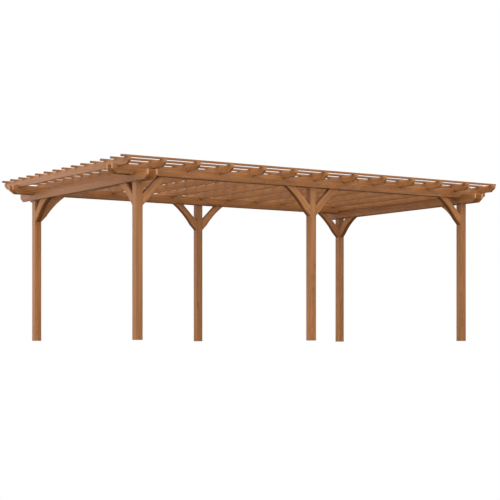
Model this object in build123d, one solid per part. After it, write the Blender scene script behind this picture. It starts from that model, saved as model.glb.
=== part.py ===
from build123d import *
import os

# Open garden pergola of stained softwood, in millimetres. Six posts carry two cross beams and two long
# beams, each a pair of boards that clasps the posts from both sides. Arched knee braces rise between the
# boards, and notched rafters hold a flat roof of slats. The origin is on the ground at the middle of the
# plan, +X runs along the long side, +Y to the back row and +Z up.

# Post grid, centre to centre
bay_length = 2735.0
row_spacing = 3000.0

# Posts
post_width = 102.0
post_arris = 7.0

# Boards of all beams, with their lower corners raked back at the ends
beam_board = 28.0
beam_rake_length = 78.0
beam_rake_height = 54.0
beam_arris = 3.0

# Cross beams, over each end pair of posts
clear_height = 2030.0
cross_beam_height = 120.0
cross_beam_overhang = 388.0

# Long beams, notched over the cross beams
long_beam_height = 120.0
long_beam_overhang = 405.0
long_beam_lap = 40.0

# Rafters, notched over the long beams
rafter_count = 13
rafter_width = 40.0
rafter_height = 96.0
rafter_overhang = 380.0
rafter_end_inset = 90.0
rafter_lap = 32.0
rafter_rake_length = 80.0
rafter_rake_height = 52.0
rafter_arris = 3.0

# Slats, laid flat across the rafters
slat_count = 14
slat_width = 42.0
slat_thickness = 26.0
slat_overhang = 400.0
slat_end_inset = 79.0
slat_arris = 3.0

# Knee braces of the posts' stock at 45 degrees: the throat is the open triangle behind a brace, its foot
# sits on the post, its lower edge is arched from the nose on, and its head stands up between the boards
brace_foot = 148.0
brace_nose = 85.0
brace_rise = 70.0
brace_arris = 5.0
long_brace_throat = 244.0
long_brace_arch = 19.5
cross_brace_reach = 385.0
cross_brace_arch = 22.0

# Workmanship
brace_clearance = 0.5
notch_clearance = 0.5
cut_overrun = 5.0

# Levels, from the ground up
cross_beam_bottom = clear_height
cross_beam_top = cross_beam_bottom + cross_beam_height
long_beam_bottom = cross_beam_top - long_beam_lap
long_beam_top = long_beam_bottom + long_beam_height
rafter_bottom = long_beam_top - rafter_lap
rafter_top = rafter_bottom + rafter_height

# Places on the plan
columns = {"left": -bay_length, "middle": 0.0, "right": bay_length}
rows = {"front": -row_spacing / 2, "back": row_spacing / 2}
cross_beam_half = row_spacing / 2 + cross_beam_overhang
long_beam_half = bay_length + long_beam_overhang
rafter_half = row_spacing / 2 + rafter_overhang
slat_half = bay_length + slat_overhang
beam_width = post_width + 2 * beam_board


def spread(count, half_span):
    """Centres of a row of pieces, evenly spaced from end to end of its span."""
    step = 2 * half_span / (count - 1)
    return [index * step - half_span for index in range(count)]


def board_pair(centre):
    """Centres of the two boards that clasp the posts on one line of the plan."""
    offset = (post_width + beam_board) / 2
    return (centre - offset, centre + offset)


def raked_timber(plane, half_length, height, width, rake_length, rake_height, arris):
    """Level timber on edge, its ends square above and raked back below.

    The plane's origin is under the middle of its lower edge.
    """
    outline = Polyline(
        (-half_length, height),
        (half_length, height),
        (half_length, rake_height),
        (half_length - rake_length, 0),
        (rake_length - half_length, 0),
        (-half_length, rake_height),
        close=True,
    )
    timber = extrude(plane * make_face(outline), amount=width / 2, both=True)
    return chamfer(timber.edges(), arris)


def beam_board_on(plane, half_length, height):
    """One board of a beam."""
    rake = (beam_rake_length, beam_rake_height)
    return raked_timber(plane, half_length, height, beam_board, *rake, beam_arris)


def post(x, y):
    """Square post from the ground to the underside of the rafters."""
    timber = Box(post_width, post_width, rafter_bottom, align=(Align.CENTER, Align.CENTER, Align.MIN))
    return Pos(x, y, 0) * fillet(timber.edges().filter_by(Axis.Z), post_arris)


def cross_beam(x):
    """Pair of boards from the front row to the back row, on both sides of two corner posts."""
    beam = Part()
    for board_x in board_pair(x):
        plane = Plane(origin=(board_x, 0, cross_beam_bottom), x_dir=(0, 1, 0), z_dir=(1, 0, 0))
        beam += beam_board_on(plane, cross_beam_half, cross_beam_height)
    return beam


def long_beam(y):
    """Pair of boards along one row of posts, notched over the boards of both cross beams."""
    beam = Part()
    for board_y in board_pair(y):
        plane = Plane(origin=(0, board_y, long_beam_bottom), x_dir=(1, 0, 0), z_dir=(0, -1, 0))
        beam += beam_board_on(plane, long_beam_half, long_beam_height)
    notch = Box(
        beam_board + 2 * notch_clearance,
        beam_width + 2 * cut_overrun,
        long_beam_lap + cut_overrun,
        align=(Align.CENTER, Align.CENTER, Align.MAX),
    )
    for column in ("left", "right"):
        for board_x in board_pair(columns[column]):
            beam -= Pos(board_x, y, cross_beam_top) * notch
    return beam


def rafter(x):
    """Rafter from front to back, notched over the boards of both long beams."""
    plane = Plane(origin=(x, 0, rafter_bottom), x_dir=(0, 1, 0), z_dir=(1, 0, 0))
    size = (rafter_half, rafter_height, rafter_width)
    timber = raked_timber(plane, *size, rafter_rake_length, rafter_rake_height, rafter_arris)
    notch = Box(
        rafter_width + 2 * cut_overrun,
        beam_board + 2 * notch_clearance,
        rafter_lap + cut_overrun,
        align=(Align.CENTER, Align.CENTER, Align.MAX),
    )
    for y in rows.values():
        for board_y in board_pair(y):
            timber -= Pos(x, board_y, long_beam_top) * notch
    return timber


def slat(y):
    """Flat slat along the whole roof."""
    board = Box(2 * slat_half, slat_width, slat_thickness, align=(Align.CENTER, Align.CENTER, Align.MIN))
    return Pos(0, y, rafter_top) * chamfer(board.edges(), slat_arris)


def knee_brace(corner, toward, throat, reach, arch):
    """Brace from a post's face up between two boards, straight above and arched below.

    The corner is on the post's face, level with the boards' lower edges, and toward is the way out from the
    post. The throat is as wide as it is deep, and the reach is where the arch comes up to the boards.
    """
    foot = -throat - brace_foot
    edges = Polyline(
        (brace_nose, foot + brace_nose),
        (0, foot),
        (0, -throat),
        (throat + brace_rise, brace_rise),
        (reach + brace_rise, brace_rise),
        (reach, 0),
    )
    edges += SagittaArc((brace_nose, foot + brace_nose), (reach, 0), arch)
    plane = Plane(origin=corner, x_dir=toward, z_dir=toward.cross(Vector(0, 0, 1)))
    brace = extrude(plane * make_face(edges), amount=post_width / 2 - brace_clearance, both=True)
    arrises = brace.edges().filter_by(Axis.Z, reverse=True).filter_by(Plane.XY, reverse=True)
    return chamfer(arrises, brace_arris)


def long_brace(x, y, side):
    """Brace between the boards of a long beam, on the side of its post that points along X by side."""
    corner = Vector(x + side * post_width / 2, y, long_beam_bottom)
    reach = long_brace_throat + brace_foot
    return knee_brace(corner, Vector(side, 0, 0), long_brace_throat, reach, long_brace_arch)


def cross_brace(x, y):
    """Brace between the boards of a cross beam, inwards from a corner post.

    Its foot is level with the long brace's foot on the same post.
    """
    side = -1 if y > 0 else 1
    corner = Vector(x, y + side * post_width / 2, cross_beam_bottom)
    throat = long_brace_throat - (long_beam_bottom - cross_beam_bottom)
    return knee_brace(corner, Vector(0, side, 0), throat, cross_brace_reach, cross_brace_arch)


def pergola():
    """Every piece of the frame and roof, by name."""
    pieces = {}
    for row, y in rows.items():
        for column, x in columns.items():
            pieces[f"post_{row}_{column}"] = post(x, y)
        pieces[f"long_beam_{row}"] = long_beam(y)
        left, middle, right = columns.values()
        pieces[f"braces_{row}_left"] = long_brace(left, y, 1) + cross_brace(left, y)
        pieces[f"braces_{row}_middle"] = long_brace(middle, y, -1) + long_brace(middle, y, 1)
        pieces[f"braces_{row}_right"] = long_brace(right, y, -1) + cross_brace(right, y)
    for column in ("left", "right"):
        pieces[f"cross_beam_{column}"] = cross_beam(columns[column])
    for number, x in enumerate(spread(rafter_count, long_beam_half - rafter_end_inset), start=1):
        pieces[f"rafter_{number:02d}"] = rafter(x)
    for number, y in enumerate(spread(slat_count, rafter_half - slat_end_inset), start=1):
        pieces[f"slat_{number:02d}"] = slat(y)
    return pieces


os.makedirs("parts", exist_ok=True)
for name, piece in pergola().items():
    export_step(piece, f"parts/{name}.step")
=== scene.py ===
import math
import random

import bmesh
import bpy
from mathutils import Matrix, Vector


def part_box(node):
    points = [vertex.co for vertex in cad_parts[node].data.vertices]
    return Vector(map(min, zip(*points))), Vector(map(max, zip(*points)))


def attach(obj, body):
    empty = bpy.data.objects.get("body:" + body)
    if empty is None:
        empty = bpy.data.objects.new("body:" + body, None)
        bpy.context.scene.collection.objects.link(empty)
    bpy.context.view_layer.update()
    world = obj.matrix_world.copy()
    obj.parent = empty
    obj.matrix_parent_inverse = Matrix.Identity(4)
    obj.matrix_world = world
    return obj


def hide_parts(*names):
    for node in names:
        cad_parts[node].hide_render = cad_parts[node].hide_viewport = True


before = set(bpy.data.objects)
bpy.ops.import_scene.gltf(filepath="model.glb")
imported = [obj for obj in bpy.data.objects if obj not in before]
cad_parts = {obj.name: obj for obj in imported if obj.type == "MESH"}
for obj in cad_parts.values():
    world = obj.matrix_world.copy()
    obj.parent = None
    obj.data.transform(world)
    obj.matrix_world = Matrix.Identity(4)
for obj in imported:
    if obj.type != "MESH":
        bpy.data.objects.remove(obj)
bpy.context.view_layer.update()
scene = bpy.context.scene
scene.view_settings.view_transform = "Standard"
print("frame loaded,", len(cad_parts), "timbers")

seeds = random.Random(41)


# camera: level, a little under the feet, lens shifted up
view = {
    "place": (-11.985, -18.174, -0.0944),
    "tilt": 90.0,  # degrees, 90 is level
    "turn": -33.351,  # degrees from looking along +Y
    "sensor": 36.0,
    "lens": 106.971,
    "shiftUp": 0.1947,
    "clipEnd": 200.0,
}
camera = bpy.data.objects.new("camera", bpy.data.cameras.new("camera"))
camera.location = view["place"]
camera.rotation_euler = (math.radians(view["tilt"]), 0, math.radians(view["turn"]))
camera.data.sensor_width = view["sensor"]
camera.data.lens = view["lens"]
camera.data.shift_y = view["shiftUp"]
camera.data.clip_end = view["clipEnd"]
scene.collection.objects.link(camera)
scene.camera = camera


# wood finish: shared node groups first, then one material for each kind of timber
socketKinds = {"number": "NodeSocketFloat", "colour": "NodeSocketColor", "place": "NodeSocketVector"}
mixSockets = {"share": 0, "first": 6, "second": 7, "result": 2}  # the colour sockets of a Mix node
grainMasks = ("Rings", "Fibres", "Streaks", "Knots")
stainColours = ("Light", "Dark", "Highlight", "Knot And Shade", "End")
timberMarks = {  # a timber's own attribute: the stain's input; the arris and brace marks carry a painted highlight and a painted shade
    "arris": "Arris", "boardTone": "Tone", "endGrain": "End Grain", "soaked": "Soaked",
}


def newGroup(name, inputs, outputs):
    # sockets are given as label: kind
    group = bpy.data.node_groups.new(name, "ShaderNodeTree")
    for side, sockets in (("INPUT", inputs), ("OUTPUT", outputs)):
        for label, kind in sockets.items():
            group.interface.new_socket(name=label, in_out=side, socket_type=socketKinds[kind])
    return group, group.nodes.new("NodeGroupInput"), group.nodes.new("NodeGroupOutput")


def feed(tree, target, value):
    if isinstance(value, bpy.types.NodeSocket):
        tree.links.new(value, target)
    else:
        target.default_value = value


def addMath(tree, operation, *values):
    node = tree.nodes.new("ShaderNodeMath")
    node.operation = operation
    for target, value in zip(node.inputs, values):
        feed(tree, target, value)
    return node.outputs["Value"]


def addVector(tree, operation, *values):
    node = tree.nodes.new("ShaderNodeVectorMath")
    node.operation = operation
    for target, value in zip(node.inputs, values):
        feed(tree, target, value)
    return node.outputs["Value" if operation in ("LENGTH", "DOT_PRODUCT") else "Vector"]


def addRange(tree, value, fromLow, fromHigh, toLow=0.0, toHigh=1.0, smooth=True):
    node = tree.nodes.new("ShaderNodeMapRange")
    node.interpolation_type = "SMOOTHSTEP" if smooth else "LINEAR"
    for label, number in (
        ("Value", value), ("From Min", fromLow), ("From Max", fromHigh), ("To Min", toLow), ("To Max", toHigh),
    ):
        feed(tree, node.inputs[label], number)
    return node.outputs["Result"]


def addNoise(tree, place, stretch, detail=2.0, roughness=0.5):
    node = tree.nodes.new("ShaderNodeTexNoise")
    feed(tree, node.inputs["Vector"], addVector(tree, "MULTIPLY", place, stretch))
    node.inputs["Scale"].default_value = 1.0
    node.inputs["Detail"].default_value = detail
    node.inputs["Roughness"].default_value = roughness
    return node.outputs["Fac"]


def addMix(tree, share, first, second, blend="MIX"):
    node = tree.nodes.new("ShaderNodeMix")
    node.data_type = "RGBA"
    node.blend_type = blend
    feed(tree, node.inputs[mixSockets["share"]], share)
    feed(tree, node.inputs[mixSockets["first"]], first)
    feed(tree, node.inputs[mixSockets["second"]], second)
    return node.outputs[mixSockets["result"]]


grainLook = {  # stretches: x along the fibres, y and z across them
    "knotCells": 3.6, "knotStretch": (0.75, 1.0, 1.0), "knotCore": 0.35, "swirlReach": 4.0,
    "taper": (0.018, 1.0, 1.0),
    "slowStretch": (1.1, 5.0, 5.0), "slowBend": 0.055,
    "fineStretch": (3.0, 30.0, 30.0), "fineBend": 0.006, "swirlBend": 0.02,
    "lateWood": (0.35, 0.88), "ringEdge": (1.0, 0.93),
    "fibres": ((6.0, 420.0, 420.0), 3.0, 0.6),  # stretch, detail, roughness
    "streaks": ((0.9, 26.0, 26.0), 3.0, 0.55),
}


def makeGrainGroup():
    # grain of a sawn timber, from its own wood coordinates
    group, start, end = newGroup(
        "sawnGrain",
        {"Place": "place", "Ring Width": "number", "Knot Size": "number"},
        dict.fromkeys(grainMasks, "number"),
    )
    place, knotSize = start.outputs["Place"], start.outputs["Knot Size"]

    # knots: sparse cells, pulled a little along the grain
    knotCells = group.nodes.new("ShaderNodeTexVoronoi")
    knotCells.inputs["Scale"].default_value = grainLook["knotCells"]
    feed(group, knotCells.inputs["Vector"], addVector(group, "MULTIPLY", place, grainLook["knotStretch"]))
    knotFar = knotCells.outputs["Distance"]
    knots = addRange(group, knotFar, knotSize, addMath(group, "MULTIPLY", knotSize, grainLook["knotCore"]))
    swirl = addRange(group, knotFar, addMath(group, "MULTIPLY", knotSize, grainLook["swirlReach"]), 0.0)

    # rings round a pith beside the timber, wandering slowly along it
    slow = addNoise(group, place, grainLook["slowStretch"])
    fine = addNoise(group, place, grainLook["fineStretch"])
    reach = addVector(group, "LENGTH", addVector(group, "MULTIPLY", place, grainLook["taper"]))
    for bend, amount in ((slow, "slowBend"), (fine, "fineBend"), (swirl, "swirlBend")):
        reach = addMath(group, "ADD", reach, addMath(group, "MULTIPLY", bend, grainLook[amount]))
    turn = addMath(group, "FRACT", addMath(group, "DIVIDE", reach, start.outputs["Ring Width"]))
    late = addRange(group, turn, *grainLook["lateWood"])
    rings = addMath(group, "MULTIPLY", late, addRange(group, turn, *grainLook["ringEdge"]))

    # fine fibres and broad stain streaks
    fibres = addNoise(group, place, *grainLook["fibres"])
    streaks = addNoise(group, place, *grainLook["streaks"])
    for label, value in zip(grainMasks, (rings, fibres, streaks, knots)):
        group.links.new(value, end.inputs[label])
    return group


stainLook = {
    "streaks": (0.3, 0.7), "streakDepth": (0.0, 0.55), "ringDepth": 0.34,
    "fibres": (0.3, 0.7), "fibreDepth": (-0.12, 0.16),
    "toneLevel": (0.93, 1.07), "toneWarmth": (1.0, 1.015, 1.04),
    "knotShare": 0.75, "endFacing": (0.3, 0.9), "shadeDepth": (0.7, 0.95),
    "highlightStreaks": (0.35, 0.6), "arrisHighlight": (0.75, 0.35),
    "roughFibres": (0.25, 0.75), "rough": (0.42, 0.62), "ringShine": 0.06,
    "ringRelief": 0.5, "fibreRelief": 0.6, "knotRelief": 0.4,
}


def makeStainGroup():
    # brown stain over the grain: colour, gloss and relief from the grain's masks
    masks = (*grainMasks, *timberMarks.values(), "End Depth")
    group, start, end = newGroup(
        "brownStain",
        {**dict.fromkeys(masks, "number"), **dict.fromkeys(stainColours, "colour")},
        {"Color": "colour", "Roughness": "number", "Height": "number"},
    )
    value = start.outputs

    def times(label, amount):
        return addMath(group, "MULTIPLY", value[label], amount)

    depth = addRange(group, value["Streaks"], *stainLook["streaks"], *stainLook["streakDepth"])
    depth = addMath(group, "ADD", depth, times("Rings", stainLook["ringDepth"]))
    fibreDepth = addRange(group, value["Fibres"], *stainLook["fibres"], *stainLook["fibreDepth"])
    depth = addMath(group, "ADD", depth, fibreDepth)
    colour = addMix(group, depth, value["Light"], value["Dark"])
    # boards differ from each other
    level = addRange(group, value["Tone"], 0.0, 1.0, *stainLook["toneLevel"], smooth=False)
    shade = group.nodes.new("ShaderNodeCombineColor")
    for channel, warmth in zip(shade.inputs, stainLook["toneWarmth"]):
        group.links.new(addMath(group, "POWER", level, warmth), channel)
    colour = addMix(group, 1.0, colour, shade.outputs["Color"], "MULTIPLY")
    colour = addMix(group, times("Knots", stainLook["knotShare"]), colour, value["Knot And Shade"])
    # sawn ends get a colour of their own, and painted shade darkens the middle of the braces' edges
    ends = times("End Depth", addRange(group, value["End Grain"], *stainLook["endFacing"]))
    colour = addMix(group, ends, colour, value["End"])
    # painted shade on the braces' narrow faces, in the knot colour
    shadeDepth = times("Soaked", addRange(group, value["Streaks"], *stainLook["streaks"], *stainLook["shadeDepth"]))
    colour = addMix(group, shadeDepth, colour, value["Knot And Shade"])
    # arrises are painted paler, a painted highlight along the rounded edges
    arrisHighlight = addRange(group, value["Streaks"], *stainLook["highlightStreaks"], *stainLook["arrisHighlight"])
    arrisHighlight = times("Arris", arrisHighlight)
    colour = addMix(group, arrisHighlight, colour, value["Highlight"])
    group.links.new(colour, end.inputs["Color"])
    rough = addRange(group, value["Fibres"], *stainLook["roughFibres"], *stainLook["rough"])
    rough = addMath(group, "SUBTRACT", rough, times("Rings", stainLook["ringShine"]))
    group.links.new(rough, end.inputs["Roughness"])
    relief = addMath(
        group, "ADD", times("Rings", stainLook["ringRelief"]), times("Fibres", stainLook["fibreRelief"]),
    )
    relief = addMath(group, "SUBTRACT", relief, times("Knots", stainLook["knotRelief"]))
    group.links.new(relief, end.inputs["Height"])
    return group


grainGroup = makeGrainGroup()
stainGroup = makeStainGroup()


def addAttribute(tree, name):
    node = tree.nodes.new("ShaderNodeAttribute")
    node.attribute_name = name
    return node.outputs


def makeTimber(name, finish):
    material = bpy.data.materials.new(name)
    material.use_nodes = True
    tree = material.node_tree
    shader = tree.nodes["Principled BSDF"]
    grain = tree.nodes.new("ShaderNodeGroup")
    grain.node_tree = grainGroup
    grain.inputs["Ring Width"].default_value = finish["ringWidth"]
    grain.inputs["Knot Size"].default_value = finish["knotSize"]
    tree.links.new(addAttribute(tree, "grainPlace")["Vector"], grain.inputs["Place"])
    stain = tree.nodes.new("ShaderNodeGroup")
    stain.node_tree = stainGroup
    stain.inputs["End Depth"].default_value = finish["endDepth"]
    for label in stainColours:
        stain.inputs[label].default_value = (*finish[label.lower()], 1)
    for label in grainMasks:
        tree.links.new(grain.outputs[label], stain.inputs[label])
    for mark, label in timberMarks.items():
        tree.links.new(addAttribute(tree, mark)["Fac"], stain.inputs[label])
    shader.inputs["Specular IOR Level"].default_value = finish["gloss"]
    tree.links.new(stain.outputs["Color"], shader.inputs["Base Color"])
    tree.links.new(stain.outputs["Roughness"], shader.inputs["Roughness"])
    bump = tree.nodes.new("ShaderNodeBump")
    bump.inputs["Strength"].default_value = finish["relief"]
    bump.inputs["Distance"].default_value = finish["reliefHeight"]
    tree.links.new(stain.outputs["Height"], bump.inputs["Height"])
    tree.links.new(bump.outputs["Normal"], shader.inputs["Normal"])
    return material


# the pale colour laid on the arrises is a painted highlight; the knot colour also paints the braces' shade
timberFinish = {
    "post_timber": {
        "ringWidth": 0.0085, "knotSize": 0.050, "relief": 0.35, "reliefHeight": 0.0008,
        "gloss": 0.45, "endDepth": 0.5,
        "light": (0.352, 0.143, 0.040), "dark": (0.216, 0.076, 0.015),
        "highlight": (0.50, 0.260, 0.110), "knot and shade": (0.075, 0.026, 0.008), "end": (0.16, 0.070, 0.028),
    },
    "beam_timber": {
        "ringWidth": 0.0080, "knotSize": 0.048, "relief": 0.35, "reliefHeight": 0.0008,
        "gloss": 0.45, "endDepth": 0.7,
        "light": (0.358, 0.142, 0.037), "dark": (0.218, 0.075, 0.014),
        "highlight": (0.56, 0.310, 0.145), "knot and shade": (0.075, 0.026, 0.008), "end": (0.50, 0.260, 0.115),
    },
    "brace_timber": {
        "ringWidth": 0.0085, "knotSize": 0.040, "relief": 0.35, "reliefHeight": 0.0008,
        "gloss": 0.10, "endDepth": 0.0,
        "light": (0.415, 0.191, 0.076), "dark": (0.258, 0.104, 0.036),
        "highlight": (0.48, 0.240, 0.108), "knot and shade": (0.150, 0.036, 0.001), "end": (0.16, 0.070, 0.028),
    },
    "rafter_timber": {
        "ringWidth": 0.0070, "knotSize": 0.045, "relief": 0.35, "reliefHeight": 0.0008,
        "gloss": 0.45, "endDepth": 0.20,
        "light": (0.345, 0.137, 0.036), "dark": (0.210, 0.072, 0.013),
        "highlight": (0.54, 0.290, 0.130), "knot and shade": (0.075, 0.026, 0.008), "end": (0.46, 0.225, 0.092),
    },
    "slat_timber": {
        "ringWidth": 0.0060, "knotSize": 0.035, "relief": 0.35, "reliefHeight": 0.0008,
        "gloss": 0.45, "endDepth": 0.9,
        "light": (0.335, 0.130, 0.033), "dark": (0.205, 0.069, 0.012),
        "highlight": (0.42, 0.200, 0.080), "knot and shade": (0.075, 0.026, 0.008), "end": (0.060, 0.030, 0.018),
    },
}
timber = {slot: makeTimber(slot, finish) for slot, finish in timberFinish.items()}
print("timber finishes made")


# modelling helpers: each timber is made lying along X about its own middle line
near = 1e-4
sharpBend = 0.3  # radians, an edge that bends more gets an arris
smoothUnder = 38.0  # degrees, edges that bend less are shaded smooth
grainShift = {"along": 40.0, "pith": (0.05, 0.16), "aside": 0.12}


def wholeOf(bm):
    return bm.faces[:] + bm.edges[:] + bm.verts[:]


def arrisEdges(bm, notches):
    # sharp edges, apart from those of the notches
    def inNotch(edge):
        middle = (edge.verts[0].co + edge.verts[1].co) / 2
        return any(abs(middle.x - x) < half + near and middle.z < top + near for x, half, top in notches)
    return [e for e in bm.edges if e.is_manifold and e.calc_face_angle() > sharpBend and not inNotch(e)]


def easeArrises(bm, edges, arris, segments=3):
    highlight = bm.verts.layers.float.new("arris")
    done = bmesh.ops.bevel(
        bm, geom=edges, offset=arris, offset_type="OFFSET", segments=segments,
        profile=0.5, affect="EDGES", material=-1, clamp_overlap=True,
    )
    rounded = set(done["faces"])
    # the middle of each rounding marks where the painted highlight goes
    for vert in done["verts"]:
        if all(f in rounded for f in vert.link_faces):
            vert[highlight] = 1.0
    for face in bm.faces:
        face.smooth = True


def thicken(bm, width):
    # the flat outline in XZ becomes a board of that width, centred on Y
    made = bmesh.ops.extrude_face_region(bm, geom=bm.faces[:])
    moved = [v for v in made["geom"] if isinstance(v, bmesh.types.BMVert)]
    bmesh.ops.translate(bm, verts=moved, vec=(0, width, 0))
    bmesh.ops.translate(bm, verts=bm.verts[:], vec=(0, -width / 2, 0))
    bmesh.ops.recalc_face_normals(bm, faces=bm.faces[:])


def rakedBoard(half, height, width, rakeLength, rakeHeight, arris, notches=()):
    # level board on edge, lower corners raked back, notched from below
    bm = bmesh.new()
    outline = (
        (-half, height), (half, height), (half, rakeHeight),
        (half - rakeLength, 0), (rakeLength - half, 0), (-half, rakeHeight),
    )
    bm.faces.new([bm.verts.new((x, 0, z)) for x, z in outline])
    for x, halfWidth, top in notches:
        for side in (x - halfWidth, x + halfWidth):
            bmesh.ops.bisect_plane(bm, geom=wholeOf(bm), plane_co=(side, 0, 0), plane_no=(1, 0, 0))
        within = [f for f in bm.faces if abs(f.calc_center_median().x - x) < halfWidth]
        rim = [e for e in bm.edges if any(f in within for f in e.link_faces)]
        corners = [v for v in bm.verts if any(f in within for f in v.link_faces)]
        bmesh.ops.bisect_plane(bm, geom=within + rim + corners, plane_co=(0, 0, top), plane_no=(0, 0, 1))
        middles = {f: f.calc_center_median() for f in bm.faces}
        cut = [f for f, middle in middles.items() if abs(middle.x - x) < halfWidth and middle.z < top]
        bmesh.ops.delete(bm, geom=cut, context="FACES")
    thicken(bm, width)
    easeArrises(bm, arrisEdges(bm, notches), arris)
    return bm


def squareTimber(length, width, height, arris, longOnly=False, segments=3):
    bm = bmesh.new()
    bmesh.ops.create_cube(bm, size=1.0)
    bmesh.ops.scale(bm, vec=(length, width, height), verts=bm.verts[:])
    edges = bm.edges[:]
    if longOnly:
        edges = [e for e in edges if abs(e.verts[0].co.x - e.verts[1].co.x) > length / 2]
    easeArrises(bm, edges, arris, segments)
    return bm


def markGrain(bm, turn=Matrix.Identity(3)):
    # own wood coordinates and tone, taken while the timber lies along X
    grain = bm.verts.layers.float_vector.new("grainPlace")
    tone = bm.verts.layers.float.new("boardTone")
    # every timber gets the painted-shade mark, empty unless a brace has set it
    if not bm.verts.layers.float.get("soaked"):
        bm.verts.layers.float.new("soaked")
    sawn = bm.faces.layers.float.new("endGrain")
    shift = Vector((
        seeds.uniform(-grainShift["along"], grainShift["along"]),
        seeds.uniform(*grainShift["pith"]) * seeds.choice((-1, 1)),
        seeds.uniform(-grainShift["aside"], grainShift["aside"]),
    ))
    level = seeds.random()
    for vert in bm.verts:
        vert[grain] = turn @ vert.co + shift
        vert[tone] = level
    for face in bm.faces:
        face[sawn] = abs((turn @ face.normal).x) ** 2
    return bm


def placed(bm, origin, along, across, up):
    # from lying along X to its place in the frame
    turn = Matrix((along, across, up)).transposed().to_4x4()
    turn.translation = origin
    bmesh.ops.transform(bm, matrix=turn, verts=bm.verts[:])
    if turn.determinant() < 0:
        bmesh.ops.reverse_faces(bm, faces=bm.faces[:])
    return bm


def putUp(node, boards, slot):
    # boards become one piece that stands for its CAD node
    mesh = bpy.data.meshes.new("timber_" + node)
    whole = bmesh.new()
    for bm in boards:
        part = bpy.data.meshes.new("part")
        bm.to_mesh(part)
        bm.free()
        whole.from_mesh(part)
        bpy.data.meshes.remove(part)
    whole.to_mesh(mesh)
    whole.free()
    mesh.materials.append(timber[slot])
    mesh.set_sharp_from_angle(angle=math.radians(smoothUnder))
    piece = bpy.data.objects.new("timber_" + node, mesh)
    scene.collection.objects.link(piece)
    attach(piece, "root")
    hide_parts(node)


alongX, alongY, alongZ = Vector((1, 0, 0)), Vector((0, 1, 0)), Vector((0, 0, 1))
rowNames = ("front", "back")
columnNames = ("left", "middle", "right")
endNames = ("left", "right")


# posts
postShape = {"arris": 0.007, "segments": 4}
postMiddle = {}
for row in rowNames:
    for column in columnNames:
        node = f"post_{row}_{column}"
        low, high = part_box(node)
        size = high - low
        bm = squareTimber(size.z, size.y, size.x, postShape["arris"], True, postShape["segments"])
        markGrain(bm)
        placed(bm, (low + high) / 2, alongZ, alongY, -alongX)
        putUp(node, [bm], "post_timber")
        postMiddle[row, column] = (low + high) / 2
postWidth = size.x
print("posts up")


# beams: two boards each, clasping the posts
beamShape = {
    "board": 0.028, "rakeLength": 0.078, "rakeHeight": 0.054, "arris": 0.003,
    "lap": 0.040, "clearance": 0.0005,
}
boardAside = (postWidth + beamShape["board"]) / 2


def beamBoard(half, height, notches=()):
    rake = (beamShape["rakeLength"], beamShape["rakeHeight"])
    return rakedBoard(half, height, beamShape["board"], *rake, beamShape["arris"], notches)


for column in endNames:
    node = f"cross_beam_{column}"
    low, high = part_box(node)
    boards = []
    for side in (-1, 1):
        bm = beamBoard((high.y - low.y) / 2, high.z - low.z)
        markGrain(bm)
        origin = Vector(((low.x + high.x) / 2 + side * boardAside, (low.y + high.y) / 2, low.z))
        boards.append(placed(bm, origin, alongY, -alongX, alongZ))
    putUp(node, boards, "beam_timber")

halfNotch = beamShape["board"] / 2 + beamShape["clearance"]
for row in rowNames:
    node = f"long_beam_{row}"
    low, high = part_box(node)
    notches = [
        (postMiddle[row, column].x + side * boardAside, halfNotch, beamShape["lap"])
        for column in endNames for side in (-1, 1)
    ]
    boards = []
    for side in (-1, 1):
        bm = beamBoard((high.x - low.x) / 2, high.z - low.z, notches)
        markGrain(bm)
        origin = Vector(((low.x + high.x) / 2, (low.y + high.y) / 2 + side * boardAside, low.z))
        boards.append(placed(bm, origin, alongX, alongY, alongZ))
    putUp(node, boards, "beam_timber")
print("beams laid")


# knee braces of the posts' stock, arched below, between the boards
braceShape = {
    "foot": 0.148, "nose": 0.085, "rise": 0.070, "slope": 45.0, "clearance": 0.0005, "archSteps": 20,
    "arris": 0.017, "segments": 5, "darkHalf": 0.026, "paleFrom": 0.033,
    "longThroat": 0.244, "longArch": 0.0195, "crossReach": 0.385, "crossArch": 0.022,
}


def isSlanted(edge):
    run = edge.verts[1].co - edge.verts[0].co
    return abs(run.y) < near and abs(run.x) > near and abs(run.z) > near


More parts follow.
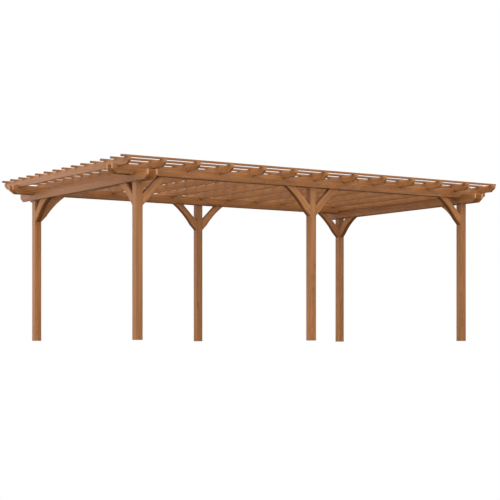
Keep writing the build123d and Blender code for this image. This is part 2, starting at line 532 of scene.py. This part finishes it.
def kneeBrace(throat, reach, arch):
    # outline in XZ, the post's face at x 0 and the boards' lower edges at z 0
    foot, nose, rise = -throat - braceShape["foot"], braceShape["nose"], braceShape["rise"]
    bm = bmesh.new()
    first, last = Vector((nose, 0, foot + nose)), Vector((reach, 0, 0))
    chord = last - first
    radius = (chord.length_squared / 4 + arch * arch) / (2 * arch)
    inward = Vector((-chord.z, 0, chord.x)).normalized()
    centre = (first + last) / 2 - inward * (radius - arch)
    turn = 2 * math.asin(chord.length / 2 / radius)
    start = bm.verts.new(first)
    bmesh.ops.spin(
        bm, geom=[start], cent=centre, axis=(0, 1, 0), dvec=(0, 0, 0), angle=turn,
        steps=braceShape["archSteps"], use_merge=False, use_duplicate=False,
    )
    bm.verts.ensure_lookup_table()
    end = min(bm.verts, key=lambda v: (v.co - last).length)
    chain = [end] + [
        bm.verts.new((x, 0, z))
        for x, z in ((reach + rise, rise), (throat + rise, rise), (0, -throat), (0, foot))
    ] + [start]
    for one, two in zip(chain, chain[1:]):
        bm.edges.new((one, two))
    bmesh.ops.contextual_create(bm, geom=bm.edges[:])
    thicken(bm, postWidth - 2 * braceShape["clearance"])
    easeArrises(bm, [e for e in bm.edges if isSlanted(e)], braceShape["arris"], braceShape["segments"])
    # painted shade: the middle of the sawn edges is darkened, fading out towards the arrises
    for aside in (braceShape["darkHalf"], braceShape["paleFrom"]):
        for y in (-aside, aside):
            bmesh.ops.bisect_plane(bm, geom=wholeOf(bm), plane_co=(0, y, 0), plane_no=(0, 1, 0))
    soaked = bm.verts.layers.float.new("soaked")
    for vert in bm.verts:
        vert[soaked] = 1.0 if abs(vert.co.y) < braceShape["darkHalf"] + near else 0.0
    markGrain(bm, Matrix.Rotation(math.radians(braceShape["slope"]), 3, "Y"))
    return bm


def longBrace(row, column, side):
    middle = postMiddle[row, column]
    throat = braceShape["longThroat"]
    bm = kneeBrace(throat, throat + braceShape["foot"], braceShape["longArch"])
    origin = Vector((middle.x + side * postWidth / 2, middle.y, longBottom))
    return placed(bm, origin, alongX * side, alongY, alongZ)


def crossBrace(row, column):
    # its foot is level with the long brace's foot
    middle = postMiddle[row, column]
    side = -1 if row == "back" else 1
    throat = braceShape["longThroat"] - (longBottom - crossBottom)
    bm = kneeBrace(throat, braceShape["crossReach"], braceShape["crossArch"])
    origin = Vector((middle.x, middle.y + side * postWidth / 2, crossBottom))
    return placed(bm, origin, alongY * side, alongX, alongZ)


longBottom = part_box("long_beam_front")[0].z
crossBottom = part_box("cross_beam_left")[0].z
for row in rowNames:
    putUp(f"braces_{row}_left", [longBrace(row, "left", 1), crossBrace(row, "left")], "brace_timber")
    putUp(f"braces_{row}_middle", [longBrace(row, "middle", -1), longBrace(row, "middle", 1)], "brace_timber")
    putUp(f"braces_{row}_right", [longBrace(row, "right", -1), crossBrace(row, "right")], "brace_timber")
print("braces in")


# rafters, notched over the long beams' boards
rafterShape = {
    "count": 13, "rakeLength": 0.080, "rakeHeight": 0.052, "arris": 0.003,
    "lap": 0.032, "clearance": 0.0005,
}
halfNotch = beamShape["board"] / 2 + rafterShape["clearance"]
rafterNotches = [
    (postMiddle[row, "middle"].y + side * boardAside, halfNotch, rafterShape["lap"])
    for row in rowNames for side in (-1, 1)
]
for number in range(1, rafterShape["count"] + 1):
    node = f"rafter_{number:02d}"
    low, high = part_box(node)
    bm = rakedBoard(
        (high.y - low.y) / 2, high.z - low.z, high.x - low.x,
        rafterShape["rakeLength"], rafterShape["rakeHeight"], rafterShape["arris"], rafterNotches,
    )
    markGrain(bm)
    placed(bm, Vector(((low.x + high.x) / 2, (low.y + high.y) / 2, low.z)), alongY, -alongX, alongZ)
    putUp(node, [bm], "rafter_timber")


# slats, flat along the roof
slatShape = {"count": 14, "arris": 0.003}
for number in range(1, slatShape["count"] + 1):
    node = f"slat_{number:02d}"
    low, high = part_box(node)
    size = high - low
    bm = squareTimber(size.x, size.y, size.z, slatShape["arris"])
    markGrain(bm)
    placed(bm, (low + high) / 2, alongX, alongY, alongZ)
    putUp(node, [bm], "slat_timber")
print("roof on")


# floor: pale to the camera from above, clear from below, and a dull bounce under the timbers
floorLook = {
    "size": 60.0, "pale": (0.80, 0.80, 0.79, 1), "bounce": (0.28, 0.27, 0.26, 1),
    "roughness": 0.9, "gloss": 0.0,
}
bm = bmesh.new()
bmesh.ops.create_grid(bm, x_segments=1, y_segments=1, size=floorLook["size"] / 2)
floorMesh = bpy.data.meshes.new("floor")
bm.to_mesh(floorMesh)
bm.free()
floor = bpy.data.objects.new("floor", floorMesh)
scene.collection.objects.link(floor)
floorPaint = bpy.data.materials.new("floorPaint")
floorPaint.use_nodes = True
tree = floorPaint.node_tree
shader = tree.nodes["Principled BSDF"]
shader.inputs["Roughness"].default_value = floorLook["roughness"]
shader.inputs["Specular IOR Level"].default_value = floorLook["gloss"]
path = tree.nodes.new("ShaderNodeLightPath")
colour = addMix(tree, path.outputs["Is Camera Ray"], floorLook["bounce"], floorLook["pale"])
tree.links.new(colour, shader.inputs["Base Color"])
clear = tree.nodes.new("ShaderNodeBsdfTransparent")
facing = tree.nodes.new("ShaderNodeNewGeometry")
either = tree.nodes.new("ShaderNodeMixShader")
tree.links.new(facing.outputs["Backfacing"], either.inputs[0])
tree.links.new(shader.outputs[0], either.inputs[1])
tree.links.new(clear.outputs[0], either.inputs[2])
tree.links.new(either.outputs[0], tree.nodes["Material Output"].inputs["Surface"])
floorMesh.materials.append(floorPaint)


# studio light: white behind, soft walls of light all round, a large lamp far off to the left
# and a small one near by, behind on the left
lightLook = {
    "tint": (1.0, 0.99, 0.975, 1), "wall": 1.05, "ring": 2.0, "ceiling": 0.75,
    "ringFrom": (0.12, 0.40), "ceilingFrom": (0.65, 0.95),  # heights on the sky, 0 level and 1 overhead
    "toward": (-0.2, -0.32, 0.0),  # more light from the front and the left
    "aim": (0.0, 0.0, 1.2),
    "lamp": 13500.0, "lampSize": 42.0, "lampFar": 90.0, "lampTurn": -80.0, "lampUp": 42.0,
    "rim": 110.0, "rimSize": 5.0, "rimFar": 12.5, "rimTurn": -137.0, "rimUp": 6.0,
}
world = bpy.data.worlds.new("studio")
scene.world = world
world.use_nodes = True
tree = world.node_tree
soft = tree.nodes["Background"]
soft.inputs["Color"].default_value = lightLook["tint"]
toward = tree.nodes.new("ShaderNodeTexCoord").outputs["Generated"]
parts = tree.nodes.new("ShaderNodeSeparateXYZ")
tree.links.new(toward, parts.inputs[0])
level = addRange(tree, parts.outputs["Z"], *lightLook["ringFrom"], lightLook["wall"], lightLook["ring"])
drop = lightLook["ring"] - lightLook["ceiling"]
fade = addRange(tree, parts.outputs["Z"], *lightLook["ceilingFrom"], 0.0, drop)
level = addMath(tree, "SUBTRACT", level, fade)
bias = addMath(tree, "ADD", addVector(tree, "DOT_PRODUCT", toward, lightLook["toward"]), 1.0)
tree.links.new(addMath(tree, "MULTIPLY", level, bias), soft.inputs["Strength"])
white = tree.nodes.new("ShaderNodeBackground")
white.inputs["Color"].default_value = (1, 1, 1, 1)
white.inputs["Strength"].default_value = 1.0
path = tree.nodes.new("ShaderNodeLightPath")
seen = addMath(tree, "MAXIMUM", path.outputs["Is Camera Ray"], path.outputs["Is Transmission Ray"])
seen = addMath(tree, "MAXIMUM", seen, path.outputs["Is Glossy Ray"])
either = tree.nodes.new("ShaderNodeMixShader")
tree.links.new(seen, either.inputs[0])
tree.links.new(soft.outputs[0], either.inputs[1])
tree.links.new(white.outputs[0], either.inputs[2])
tree.links.new(either.outputs[0], tree.nodes["World Output"].inputs["Surface"])


def addLamp(name, kind):
    # square lamp turned about the middle of the frame, degrees from the front
    lampData = bpy.data.lights.new(name, "AREA")
    lampData.energy = lightLook[kind]
    lampData.size = lightLook[kind + "Size"]
    lamp = bpy.data.objects.new(name, lampData)
    turn, rise = math.radians(lightLook[kind + "Turn"]), math.radians(lightLook[kind + "Up"])
    away = Vector((math.sin(turn) * math.cos(rise), -math.cos(turn) * math.cos(rise), math.sin(rise)))
    lamp.location = Vector(lightLook["aim"]) + away * lightLook[kind + "Far"]
    lamp.rotation_euler = (-away).to_track_quat("-Z", "Y").to_euler()
    scene.collection.objects.link(lamp)


addLamp("keyLamp", "lamp")
addLamp("rimLamp", "rim")
print("light and floor set")
